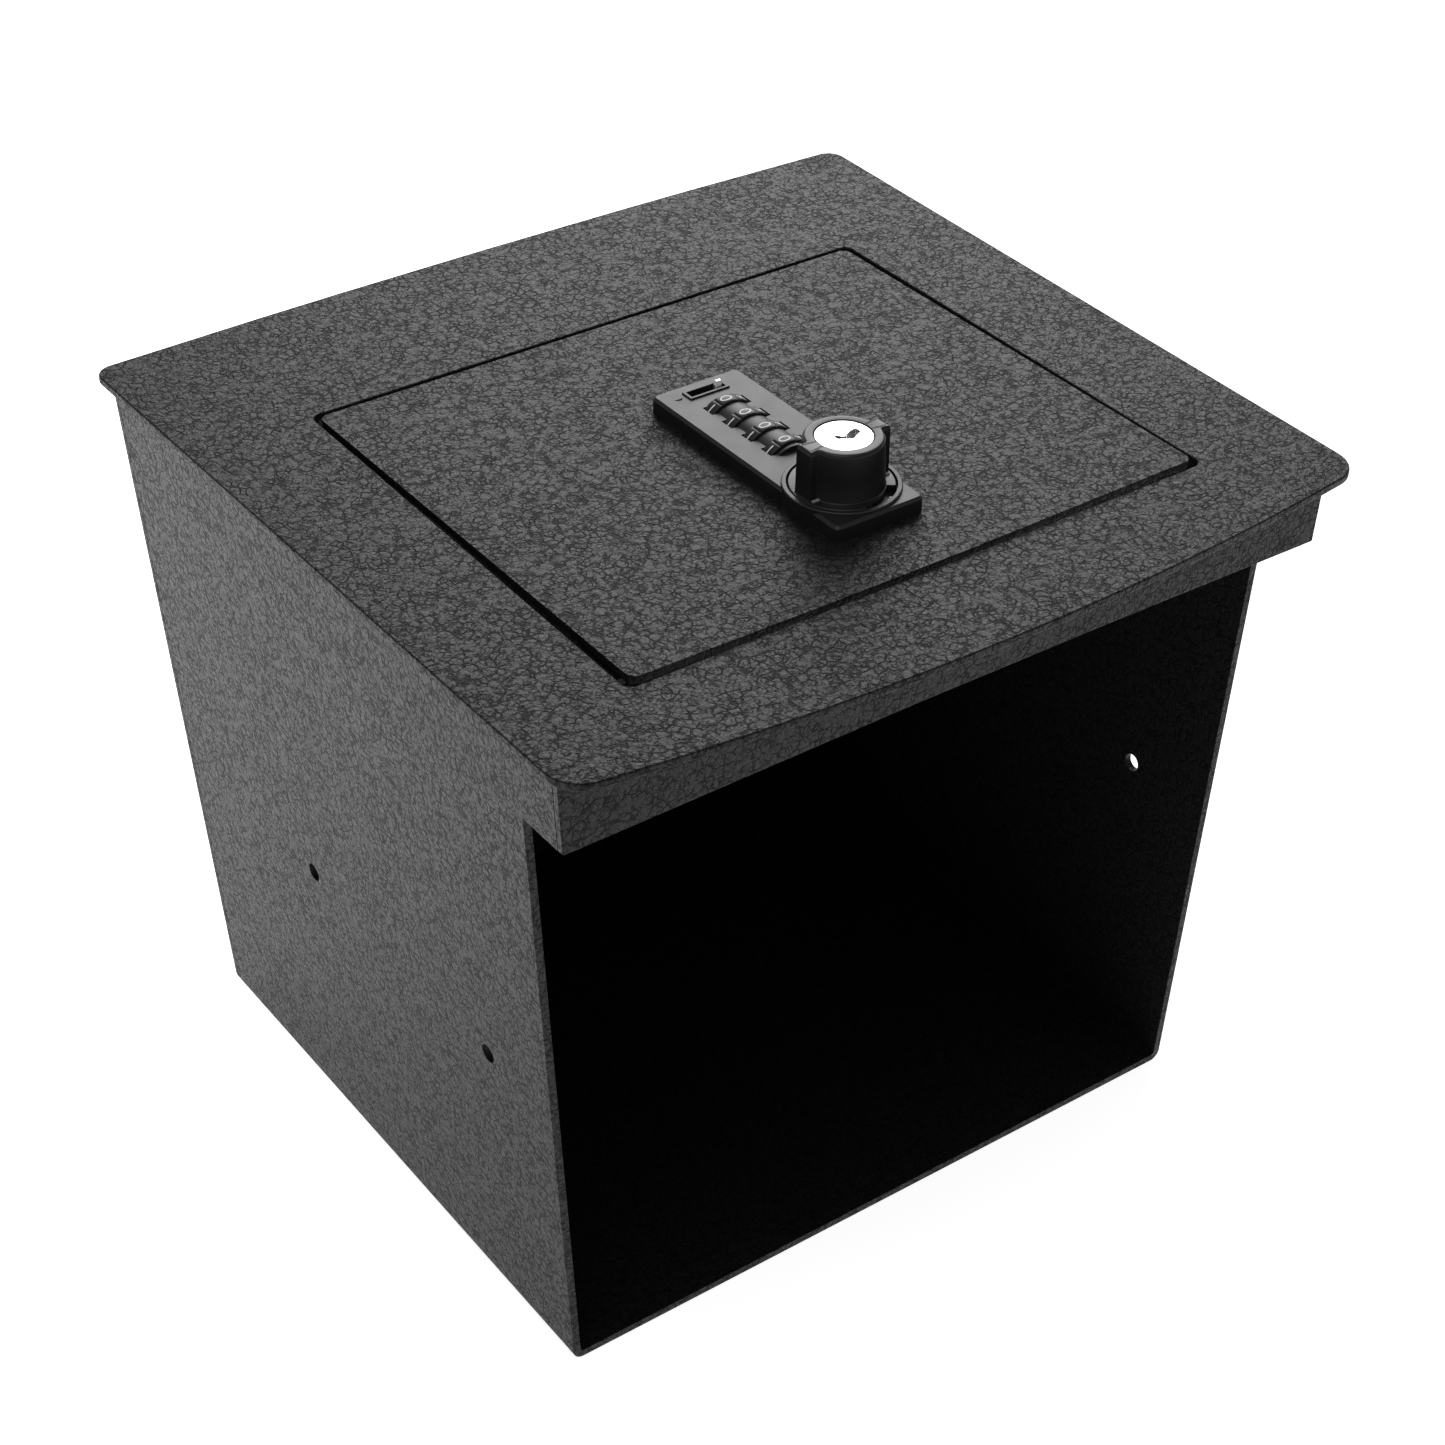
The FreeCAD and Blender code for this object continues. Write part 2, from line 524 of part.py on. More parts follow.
plug = cyl("plug_radius", "knob_top - 7.6", "0", "knob_y", "height_all + 7.4")
plug = soften(plug, "0.25", lambda e: near(e, "z", V["height_all"] + V["knob_top"] - 0.2), "Part::Chamfer")
keyway = fuse(box("-0.9", "7.2", "knob_y - 0.9", "knob_y + 0.9", "height_all + 12", "height_all + 30"),
              cyl("1.7", "20", "1.2", "knob_y + 0.3", "height_all + 12"),
              cyl("1.5", "20", "5.3", "knob_y - 0.4", "height_all + 12"))
node("key_plug", cut(plug, keyway), LOCK)

shaft = cyl("shaft_radius", "6 + sheet + 4.4", "0", "knob_y", "height_all - sheet - 4.4")
tang = box("-4", "4", "knob_y - 4", "knob_y + 4", "height_all - sheet - 4.6 - cam_thick", "height_all - sheet - 4")
node("knob_shaft", cut(fuse(shaft, tang), cyl("2", "12", "0", "knob_y", "height_all - sheet - 4.6 - cam_thick - 1")), LOCK)

arm = fuse(cyl("9", "cam_thick", "0", "knob_y", "height_all - sheet - 4.6 - cam_thick"),
           box("0", "cam_reach - 3", "knob_y - 6", "knob_y + 6", "height_all - sheet - 4.6 - cam_thick", "height_all - sheet - 4.6"),
           common(cyl("6", "cam_thick", "cam_reach - 6", "knob_y", "height_all - sheet - 4.6 - cam_thick"),
                  box("0", "cam_reach", "knob_y - 6", "knob_y + 6", "height_all - sheet - 4.6 - cam_thick", "height_all - sheet - 4.6")))
arm_trim = box("cam_reach - 6", "cam_reach + 3", "knob_y - 9", "knob_y + 9", "200", "300")
tip = cyl("6", "cam_thick", "cam_reach - 6", "knob_y", "height_all - sheet - 4.6 - cam_thick")
arm = fuse(cut(arm, arm_trim), tip)
node("lock_cam", cut(arm, box("-4", "4", "knob_y - 4", "knob_y + 4", "200", "300")), LOCK)

cap = cyl("5.6", "2.4", "0", "knob_y", "height_all - sheet - 4.6 - cam_thick - 2.4")
cap = soften(cap, "0.6", lambda e: near(e, "z", V["height_all"] - V["sheet"] - 4.6 - V["cam_thick"] - 2.4), "Part::Chamfer")
screw = cyl("2", "10.5", "0", "knob_y", "height_all - sheet - 4.6 - cam_thick")
slot = box("-4", "4", "knob_y - 0.5", "knob_y + 0.5", "200", "height_all - sheet - 4.6 - cam_thick - 1.6")
node("cam_screw", cut(fuse(cap, screw), slot), LOCK)

doc.recompute()

# ---------------------------------------------------------------- checks, export
for o in doc.Objects:
    if "Invalid" in o.State or "Error" in o.State:
        raise SystemExit("bad state %s on %s" % (o.State, o.Label))
    if hasattr(o, "Shape") and not o.isDerivedFrom("Sketcher::SketchObject") and not o.isDerivedFrom("App::Origin"):
        if o.TypeId.startswith("Part") and (o.Shape.isNull() or not o.Shape.isValid()):
            raise SystemExit("bad shape on %s" % o.Label)

for o in NODES:
    if len(o.Shape.Solids) != 1:
        raise SystemExit("%s has %d solids" % (o.Label, len(o.Shape.Solids)))
    o.Shape.exportStep("parts/%s.step" % o.Label)
print("exported", len(NODES), "nodes")
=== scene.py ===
import json
import math

import bmesh
import bpy
from mathutils import Matrix, Vector


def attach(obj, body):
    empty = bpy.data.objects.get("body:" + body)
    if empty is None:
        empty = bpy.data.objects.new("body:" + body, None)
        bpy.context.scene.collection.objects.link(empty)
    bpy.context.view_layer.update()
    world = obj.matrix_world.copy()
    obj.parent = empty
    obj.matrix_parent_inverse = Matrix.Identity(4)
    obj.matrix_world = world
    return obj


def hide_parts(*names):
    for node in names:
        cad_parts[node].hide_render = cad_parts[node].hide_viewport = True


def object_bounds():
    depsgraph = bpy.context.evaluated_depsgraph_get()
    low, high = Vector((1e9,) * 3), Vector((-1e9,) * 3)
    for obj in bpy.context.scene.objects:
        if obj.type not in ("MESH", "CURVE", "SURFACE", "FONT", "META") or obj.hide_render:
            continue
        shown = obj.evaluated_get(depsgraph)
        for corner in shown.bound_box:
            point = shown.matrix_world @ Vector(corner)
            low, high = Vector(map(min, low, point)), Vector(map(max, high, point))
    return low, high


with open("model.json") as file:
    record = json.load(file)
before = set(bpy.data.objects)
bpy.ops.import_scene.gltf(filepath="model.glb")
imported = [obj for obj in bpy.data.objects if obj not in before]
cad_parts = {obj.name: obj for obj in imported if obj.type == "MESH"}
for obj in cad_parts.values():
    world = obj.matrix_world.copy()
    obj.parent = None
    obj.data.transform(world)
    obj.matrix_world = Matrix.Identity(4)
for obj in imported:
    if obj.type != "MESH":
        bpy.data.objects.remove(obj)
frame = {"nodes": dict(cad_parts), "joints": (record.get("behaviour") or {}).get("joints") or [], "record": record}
nodes = frame["nodes"]
cad_lo, cad_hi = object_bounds()
joints = {j["name"]: j for j in frame["joints"]}

# ------------------------------------------------------------------ places
# Lock frame: millimetres, origin where the knob axis meets the lid's top,
# Z out of the lid, X to the right, Y towards the hinge.
turn = joints["knob_turn"]
UP = -Vector(turn["axis"]).normalized()
RIGHT = Vector((1, 0, 0))
BACK = UP.cross(RIGHT).normalized()
ORIGIN = Vector(turn["pos_m"]) - UP * 0.010
LOCK = Matrix((
    (RIGHT.x * 0.001, BACK.x * 0.001, UP.x * 0.001, ORIGIN.x),
    (RIGHT.y * 0.001, BACK.y * 0.001, UP.y * 0.001, ORIGIN.y),
    (RIGHT.z * 0.001, BACK.z * 0.001, UP.z * 0.001, ORIGIN.z),
    (0, 0, 0, 1)))


def to_lock(p):
    return LOCK.inverted() @ Vector(p)


# ------------------------------------------------------------------ materials
class Maker:
    """Small helper for building node materials."""

    def __init__(self, name):
        self.m = bpy.data.materials.new(name)
        self.m.use_nodes = True
        self.t = self.m.node_tree
        self.t.nodes.clear()
        self.out = self.t.nodes.new("ShaderNodeOutputMaterial")
        self.bsdf = self.t.nodes.new("ShaderNodeBsdfPrincipled")
        self.t.links.new(self.bsdf.outputs["BSDF"], self.out.inputs["Surface"])
        self.co = self.t.nodes.new("ShaderNodeTexCoord").outputs["Object"]

    def put(self, socket, value):
        if isinstance(value, bpy.types.NodeSocket):
            self.t.links.new(value, socket)
        elif value is not None:
            socket.default_value = value

    def node(self, kind, ins=None, **props):
        n = self.t.nodes.new(kind)
        for k, v in props.items():
            setattr(n, k, v)
        for k, v in (ins or {}).items():
            self.put(n.inputs[k], v)
        return n

    def math(self, op, a, b=None, c=None, clamp=False):
        n = self.t.nodes.new("ShaderNodeMath")
        n.operation = op
        n.use_clamp = clamp
        for i, v in enumerate((a, b, c)):
            self.put(n.inputs[i], v)
        return n.outputs[0]

    def vmath(self, op, a, b=None, scale=None):
        n = self.t.nodes.new("ShaderNodeVectorMath")
        n.operation = op
        self.put(n.inputs[0], a)
        if b is not None:
            self.put(n.inputs[1], b)
        if scale is not None:
            self.put(n.inputs["Scale"], scale)
        return n.outputs["Value"] if op in ("DOT_PRODUCT", "LENGTH") else n.outputs[0]

    def noise(self, scale, detail=2.0, rough=0.5, co=None, colour=False, lac=2.0):
        n = self.node("ShaderNodeTexNoise", {"Vector": co or self.co, "Scale": scale, "Detail": detail,
                                             "Roughness": rough, "Lacunarity": lac})
        return n.outputs["Color" if colour else "Fac"]

    def cells(self, scale, co=None, feature="DISTANCE_TO_EDGE", randomness=1.0):
        n = self.node("ShaderNodeTexVoronoi", {"Vector": co or self.co, "Scale": scale, "Randomness": randomness},
                      feature=feature)
        return n.outputs["Distance"]

    def span(self, value, a, b, c=0.0, d=1.0, smooth=True):
        n = self.node("ShaderNodeMapRange", {"Value": value, "From Min": a, "From Max": b, "To Min": c, "To Max": d},
                      interpolation_type="SMOOTHSTEP" if smooth else "LINEAR")
        return n.outputs["Result"]

    def mix(self, fac, a, b):
        n = self.t.nodes.new("ShaderNodeMix")
        n.data_type = "RGBA"
        self.put(n.inputs[0], fac)
        self.put(n.inputs[6], (*a, 1) if isinstance(a, tuple) and len(a) == 3 else a)
        self.put(n.inputs[7], (*b, 1) if isinstance(b, tuple) and len(b) == 3 else b)
        return n.outputs[2]

    def shift(self, amount, scale, detail=2.0):
        """Coordinates moved about by noise, amount in metres."""
        w = self.noise(scale, detail, 0.55, colour=True)
        w = self.vmath("SUBTRACT", w, (0.5, 0.5, 0.5))
        w = self.vmath("SCALE", w, scale=amount * 2)
        return self.vmath("ADD", self.co, w)

    def bump(self, height, distance, strength=1.0, normal=None):
        ins = {"Height": height, "Distance": distance, "Strength": strength}
        if normal is not None:
            ins["Normal"] = normal
        return self.node("ShaderNodeBump", ins).outputs["Normal"]

    def edges(self, radius, low=0.72, high=0.97, samples=4):
        """1 on sharp outside and inside edges, 0 on flats."""
        b = self.node("ShaderNodeBevel", {"Radius": radius}, samples=samples).outputs["Normal"]
        g = self.node("ShaderNodeNewGeometry").outputs["True Normal"]
        d = self.vmath("DOT_PRODUCT", b, g)
        return self.span(d, high, low)

    def finish(self, colour, rough, normal=None, metallic=0.0, specular=0.5, coat=0.0, coat_rough=0.1):
        b = self.bsdf
        self.put(b.inputs["Base Color"], (*colour, 1) if isinstance(colour, tuple) and len(colour) == 3 else colour)
        self.put(b.inputs["Roughness"], rough)
        b.inputs["Metallic"].default_value = metallic
        b.inputs["Specular IOR Level"].default_value = specular
        b.inputs["Coat Weight"].default_value = coat
        b.inputs["Coat Roughness"].default_value = coat_rough
        if normal is not None:
            self.put(b.inputs["Normal"], normal)
        return self.m


SPEC = 0.24


def wrinkle_coat(name, depth=0.00034, seed=0.0):
    """Black powder coat with a leather-like grain: rounded cells parted by broken creases, with painted shade (darker
    colour, weaker specular) in the creases and pits.
    Cut edges carry a thinner, smoother and darker film than the flats."""
    k = Maker(name)
    k.co = k.vmath("ADD", k.co, (seed, seed * 0.7, seed * 1.3))
    bent = k.shift(0.0011, 520, 3)
    fine_bent = k.shift(0.0006, 1100, 2)
    big = k.cells(310, bent)
    mid = k.cells(640, fine_bent)
    crease = k.span(big, 0.0, 0.13)
    crack = k.span(mid, 0.0, 0.16)
    broken = k.span(k.noise(260, 2), 0.42, 0.60)
    crease = k.math("MAXIMUM", crease, k.math("MULTIPLY", broken, 0.9))
    some = k.span(k.noise(410, 2), 0.40, 0.60)
    crack = k.math("MAXIMUM", crack, k.math("MULTIPLY", some, 0.9))
    round_big = k.span(big, 0.0, 0.50)
    grit = k.noise(1500, 3, 0.65)
    h = k.math("ADD", k.math("MULTIPLY", crease, 0.40), k.math("MULTIPLY", round_big, 0.20))
    h = k.math("ADD", h, k.math("MULTIPLY", crack, 0.22))
    h = k.math("ADD", h, k.math("MULTIPLY", grit, 0.42))
    normal = k.bump(h, depth)
    edge = k.math("MULTIPLY", k.edges(0.0009), k.span(k.noise(520, 3), 0.52, 0.70))
    # painted shade: creases, cracks and pits get a darker base colour, standing in for the shade that falls in them
    crease_shade_mix = k.math("MULTIPLY", crease, crack)
    pit_shade = k.span(grit, 0.30, 0.62)
    crease_shade_mix = k.math("MULTIPLY", crease_shade_mix, k.math("ADD", 0.55, k.math("MULTIPLY", pit_shade, 0.45)))
    tone = k.mix(crease_shade_mix, (0.004, 0.004, 0.004), k.mix(k.noise(30, 3), (0.0115, 0.0115, 0.0115), (0.0135, 0.0135, 0.0135)))
    tone = k.mix(k.math("MULTIPLY", edge, 0.30), tone, (0.05, 0.05, 0.05))
    rough = k.span(crease_shade_mix, 0.0, 1.0, 0.62, 0.40)
    rough = k.math("SUBTRACT", rough, k.math("MULTIPLY", edge, 0.06), clamp=True)
    # painted shade: the specular tint is lowered in the creases, a painted loss of reflection there
    crease_shade_tint = k.mix(crease_shade_mix, (0.22, 0.22, 0.22), (1.0, 1.0, 1.0))
    k.put(k.bsdf.inputs["Specular Tint"], crease_shade_tint)
    return k.finish(tone, rough, normal, specular=SPEC)


def satin_black(name, tone=0.010, rough=0.40, specular=0.40, grain=0.000006, rub=0.35):
    """Smooth satin black cast or moulded surface with very fine grain, faint handling marks and rubbed edges."""
    k = Maker(name)
    bent = k.shift(0.0004, 500, 2)
    h = k.math("ADD", k.noise(4200, 2, 0.6), k.math("MULTIPLY", k.noise(900, 2, co=bent), 0.8))
    normal = k.bump(h, grain)
    streak = k.node("ShaderNodeMapping", {"Vector": k.co, "Scale": (1.0, 6.0, 1.0)}).outputs[0]
    marks = k.span(k.noise(420, 4, 0.7, co=streak), 0.60, 0.74)
    edge = k.math("MULTIPLY", k.edges(0.0005), k.span(k.noise(700, 3), 0.42, 0.66))
    c = k.mix(k.noise(60, 3), (tone * 0.85,) * 3, (tone * 1.2,) * 3)
    c = k.mix(k.math("MULTIPLY", edge, rub), c, (0.055, 0.055, 0.055))
    r = k.math("ADD", rough - 0.05, k.math("MULTIPLY", k.noise(140, 3), 0.10))
    r = k.math("SUBTRACT", r, k.math("MULTIPLY", marks, 0.05), clamp=True)
    return k.finish(c, r, normal, specular=specular)


def bright_metal(name, tone=0.86, rough=0.16, turned=True):
    """Nickel-plated metal with fine turning rings, hair scratches and faint stains."""
    k = Maker(name)
    if turned:
        local = k.vmath("SUBTRACT", k.co, tuple(ORIGIN))
        flat = k.vmath("MULTIPLY", local, (1, 1, 0))
        ring = k.vmath("LENGTH", flat)
        lines = k.math("SINE", k.math("MULTIPLY", ring, 42000.0))
        lines = k.math("MULTIPLY", lines, 0.35)
    else:
        lines = k.math("MULTIPLY", k.noise(3000, 2), 0.7)
    long = k.node("ShaderNodeMapping", {"Vector": k.co, "Rotation": (0, 0, 0.6), "Scale": (14.0, 0.6, 4.0)}).outputs[0]
    hair = k.span(k.noise(360, 3, 0.6, co=long), 0.62, 0.70)
    h = k.math("SUBTRACT", k.math("ADD", lines, k.math("MULTIPLY", k.noise(1500, 2), 0.4)), hair)
    normal = k.bump(h, 0.0000012)
    c = k.mix(k.noise(240, 3), (tone * 0.93,) * 3, (tone,) * 3)
    edge = k.edges(0.0003)
    c = k.mix(k.math("MULTIPLY", edge, 0.4), c, (0.97, 0.97, 0.96))
    r = k.math("ADD", rough, k.math("MULTIPLY", k.noise(500, 3), 0.10))
    r = k.math("ADD", r, k.math("MULTIPLY", hair, 0.08), clamp=True)
    return k.finish(c, r, normal, metallic=1.0)


def zinc(name):
    """Bright zinc plating with a faint crystal mottle, pits and dull patches."""
    k = Maker(name)
    span = k.cells(900, feature="F1")
    normal = k.bump(k.math("ADD", span, k.noise(2600, 2)), 0.000008)
    c = k.mix(span, (0.44, 0.45, 0.46), (0.60, 0.61, 0.62))
    c = k.mix(k.span(k.noise(180, 3), 0.5, 0.75), c, (0.33, 0.33, 0.32))
    c = k.mix(k.math("MULTIPLY", k.edges(0.0004), 0.5), c, (0.72, 0.72, 0.72))
    r = k.math("ADD", 0.26, k.math("MULTIPLY", k.noise(320, 3), 0.22))
    return k.finish(c, r, normal, metallic=1.0)


def rubber(name):
    k = Maker(name)
    normal = k.bump(k.math("ADD", k.noise(2400, 3), k.noise(700, 2)), 0.00003)
    c = k.mix(k.noise(300, 3), (0.012, 0.012, 0.012), (0.026, 0.025, 0.024))
    return k.finish(c, k.math("ADD", 0.74, k.math("MULTIPLY", k.noise(500, 2), 0.16)), normal, specular=0.3)


def paint_and_painted_highlight(name, tone=0.86):
    """Filled numeral paint: slightly uneven, a little worn. The same finish in grey is also a painted highlight on the
    knob's skirt ledges.
    """
    k = Maker(name)
    normal = k.bump(k.noise(3000, 2), 0.00001)
    c = k.mix(k.span(k.noise(1600, 3), 0.35, 0.75), (tone,) * 3, (tone * 0.93, tone * 0.93, tone * 0.92))
    return k.finish(c, k.math("ADD", 0.45, k.math("MULTIPLY", k.noise(900, 2), 0.15)), normal, specular=0.4)


COAT = wrinkle_coat("powder_coat")
COAT_LID = wrinkle_coat("powder_coat_lid", seed=0.37)
CASE = satin_black("lock_case_black", tone=0.011, rough=0.42, specular=0.42)
KNOB = satin_black("knob_black", tone=0.008, rough=0.34, specular=0.34, grain=0.000004)
DIAL = satin_black("dial_black", tone=0.012, rough=0.40, specular=0.36, grain=0.000005)
REAR = satin_black("rear_body_black", tone=0.014, rough=0.5, specular=0.4, grain=0.000012)
NICKEL = bright_metal("nickel_plug")
SLIDE = bright_metal("bright_slide", turned=False, rough=0.2)
ZINC = zinc("zinc_plate")
RUBBER = rubber("rubber_pad")
PAINT = paint_and_painted_highlight("numeral_paint")

SLOT_LOOK = {"powder_coated_steel": COAT, "zinc_plated_steel": ZINC, "rubber_pad": RUBBER,
             "black_lock_case": CASE, "lock_rear_body": REAR, "black_knob": KNOB,
             "nickel_plug": NICKEL, "bright_slide": SLIDE, "number_dials": DIAL}


def paint(obj, *mats):
    obj.data.materials.clear()
    for m in mats:
        obj.data.materials.append(m)


# ------------------------------------------------------------------ CAD nodes that stay
def tidy(obj, width, segments=3, angle=28):
    """Merge flat facets and round the sharp edges of a CAD node, with modifiers alone."""
    w = obj.modifiers.new("weld", "WELD")
    w.merge_threshold = 0.000002
    d = obj.modifiers.new("flat", "DECIMATE")
    d.decimate_type = "DISSOLVE"
    d.angle_limit = math.radians(0.6)
    b = obj.modifiers.new("round", "BEVEL")
    b.width = width
    b.segments = segments
    b.limit_method = "ANGLE"
    b.angle_limit = math.radians(angle)
    b.use_clamp_overlap = True
    b.harden_normals = False
    for p in obj.data.polygons:
        p.use_smooth = True
    n = obj.modifiers.new("shade", "WEIGHTED_NORMAL")
    n.keep_sharp = False
    n.weight = 90


ROUNDING = {"body_shell": 0.00055, "back_panel": 0.0005, "front_lip": 0.0005, "top_frame": 0.0006,
            "lid_panel": 0.00055, "latch_keeper": 0.0004, "hinge_bracket_left": 0.0004,
            "hinge_bracket_right": 0.0004, "hinge_ear_left": 0.0004, "hinge_ear_right": 0.0004,
            "lid_rest_left": 0.0004, "lid_rest_right": 0.0004, "lock_case": 0.00022, "lock_body": 0.0003,
            "lock_cam": 0.0003, "reset_slide": 0.00012, "hinge_pin_left": 0.0002, "hinge_pin_right": 0.0002,
            "cam_screw": 0.0002, "knob_shaft": 0.0002, "rest_pad_left": 0.0001, "rest_pad_right": 0.0001,
            "lock_screw_front": 0.00015, "lock_screw_left": 0.00015, "lock_screw_right": 0.00015}

slot_of = {}
for m in frame["record"].get("materials", []):
    for n in m.get("nodes", []) or []:
        slot_of[n] = m["slot"]
body_nodes = frame["record"]["behaviour"]["bodies"]
for name, obj in nodes.items():
    look = SLOT_LOOK.get(slot_of.get(name))
    if look is None:
        if name.startswith(("hinge_pin", "cam_screw", "lock_screw", "knob_shaft", "lock_cam", "dial_spindle")):
            look = ZINC
        elif name.startswith("rest_pad"):
            look = RUBBER
        elif name == "lock_case":
            look = CASE
        elif name == "lock_body":
            look = REAR
        elif name == "reset_slide":
            look = SLIDE
        else:
            look = COAT
    if name in body_nodes["lid"] and look is COAT:
        look = COAT_LID
    paint(obj, look)
    if name in ROUNDING:
        tidy(obj, ROUNDING[name])


# ------------------------------------------------------------------ pieces in mesh code
def piece(name, verts, faces, body, mats, face_mats=None, smooth=35, place=LOCK):
    me = bpy.data.meshes.new(name)
    me.from_pydata([place @ Vector(v) for v in verts], [], faces)
    for m in mats:
        me.materials.append(m)
    if face_mats:
        me.polygons.foreach_set("material_index", face_mats)
    bm = bmesh.new()
    bm.from_mesh(me)
    bmesh.ops.remove_doubles(bm, verts=bm.verts, dist=1e-8)
    bmesh.ops.recalc_face_normals(bm, faces=bm.faces)
    limit = math.radians(smooth)
    for f in bm.faces:
        f.smooth = True
    for e in bm.edges:
        e.smooth = not (len(e.link_faces) == 2 and e.calc_face_angle(0) > limit)
    bm.to_mesh(me)
    bm.free()
    ob = bpy.data.objects.new(name, me)
    bpy.context.scene.collection.objects.link(ob)
    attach(ob, body)
    return ob


def stack(rings, closed_ends=True):
    """Quads between rings of equal point count."""
    verts, faces = [], []
    n = len(rings[0])
    for r in rings:
        verts.extend(r)
    for i in range(len(rings) - 1):
        for j in range(n):
            a, b = i * n + j, i * n + (j + 1) % n
            faces.append((a, b, b + n, a + n))
    if closed_ends:
        faces.append(tuple(range(n))[::-1])
        faces.append(tuple(range((len(rings) - 1) * n, len(rings) * n)))
    return verts, faces


def circle_points(r, z, n, cx=0.0, cy=0.0):
    return [(cx + r * math.cos(2 * math.pi * i / n), cy + r * math.sin(2 * math.pi * i / n), z) for i in range(n)]


# --- knob: a drum with two wings, rounded top edge, skirt with a notch
def smooth_outline(points, passes):
    p = [Vector(q) for q in points]
    n = len(p)
    for _ in range(passes):
        p = [(p[i - 1] + p[i] * 2 + p[(i + 1) % n]) / 4 for i in range(n)]
    return p


def inset(points, d):
    n = len(points)
    out = []
    for i in range(n):
        t = (points[(i + 1) % n] - points[i - 1]).normalized()
        out.append(points[i] - Vector((t.y, -t.x)) * d)
    return out


def grip_outline(drum, reach, half_width, n=480):
    pts = []
    for i in range(n):
        a = 2 * math.pi * i / n
        c, s = math.cos(a), math.sin(a)
        r = drum
        rx = reach / max(abs(c), 1e-9)
        ry = half_width / max(abs(s), 1e-9)
        r = max(r, min(rx, ry))
        pts.append(Vector((r * c, r * s)))
    # even spacing, then soften the corners
    total, cum = 0.0, [0.0]
    for i in range(n):
        total += (pts[(i + 1) % n] - pts[i]).length
        cum.append(total)
    even, j = [], 0
    for i in range(n):
        want = total * i / n
        while cum[j + 1] < want:
            j += 1
        f = (want - cum[j]) / max(cum[j + 1] - cum[j], 1e-9)
        even.append(pts[j].lerp(pts[(j + 1) % n], f))
    return smooth_outline(even, 4)


N = 480
TOP = 23.0
SKIRT_LOW, SKIRT_TOP = 4.2, 6.4
low = grip_outline(13.4, 15.6, 3.7, N)
top = grip_outline(12.8, 15.5, 3.6, N)
angle_of = [math.atan2(p.y, p.x) for p in low]


def notch(a):
    """How far the skirt is cut away at this angle, 0 or 1."""
    d = math.degrees(a)
    return 1.0 if -101 < d < -41 else 0.0


def skirt_ring(r, z):
    out = []
    for p, a in zip(low, angle_of):
        if notch(a):
            q = p * ((p.length + 0.35) / p.length)
            out.append((q.x, q.y, z))
        else:
            out.append((r * math.cos(a), r * math.sin(a), z))
    return out


def level(points, z):
    return [(p.x, p.y, z) for p in points]


def mixed(t):
    return [a.lerp(b, t) for a, b in zip(low, top)]


rings = [skirt_ring(16.5, SKIRT_LOW), skirt_ring(16.8, SKIRT_LOW + 0.3), skirt_ring(16.8, SKIRT_TOP - 0.45),
         skirt_ring(16.66, SKIRT_TOP - 0.14), skirt_ring(16.35, SKIRT_TOP)]
foot = [p * ((p.length + 0.34) / p.length) for p in low]
rings.append(level(foot, SKIRT_TOP))
rings.append(level([p * ((p.length + 0.1) / p.length) for p in low], SKIRT_TOP + 0.12))
rings.append(level(low, SKIRT_TOP + 0.42))
rings.append(level(mixed(0.5), 14.0))
R = 1.25
for i in range(0, 8):
    f = math.pi / 2 * i / 7
    rings.append(level(inset(top, R * (1 - math.cos(f))), TOP - R * (1 - math.sin(f))))
inner = inset(top, 1.7)
rings.append(level(inner, TOP + 0.0))
for r, z in ((9.62, TOP), (9.42, TOP - 0.06), (9.3, TOP - 0.25), (9.3, 12.0)):
    rings.append([(r * math.cos(a), r * math.sin(a), z) for a in [math.atan2(p.y, p.x) for p in inner]])
v, f = stack(rings)
knob = piece("knob_grip", v, f, "knob", [KNOB], smooth=50)
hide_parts("lock_knob")

# bearing ledges on the skirt, at the front of each wing, coloured light grey as a painted highlight
for label, x0, x1, y0 in (("ledge_left", -15.0, -9.9, -5.1), ("ledge_right", 10.6, 15.2, -4.6)):
    y1 = y0 + 0.95
    h0, h1 = SKIRT_TOP - 0.1, SKIRT_TOP + 0.55
    c = 0.22
    loop = lambda g, z: [(x0 + g, y0 + g, z), (x1 - g, y0 + g, z), (x1 - g, y1 - g, z), (x0 + g, y1 - g, z)]
    v, f = stack([loop(0, h0), loop(0, h1 - c), loop(c * 0.3, h1 - c * 0.3), loop(c, h1)])
    ob = piece(label, v, f, "knob", [paint_and_painted_highlight("ledge_painted_highlight_" + label, 0.30)], smooth=20)

# --- key plug with a wavy keyway
KEYWAY = [(-2.78, 1.15), (-2.15, 1.5), (-1.62, 1.38), (-1.25, 0.6), (-0.8, -0.2), (0.2, -0.42), (1.2, 0.1),
          (2.29, 0.8), (3.96, 1.42), (5.3, 1.66), (5.85, 1.3), (5.9, -0.6), (5.6, -1.05), (4.7, -1.1),
          (3.3, -1.8), (2.2, -2.5), (1.4, -2.72), (0.5, -2.45), (-0.75, -1.6), (-1.6, -0.85), (-2.3, -0.75),
          (-2.8, -0.4)]


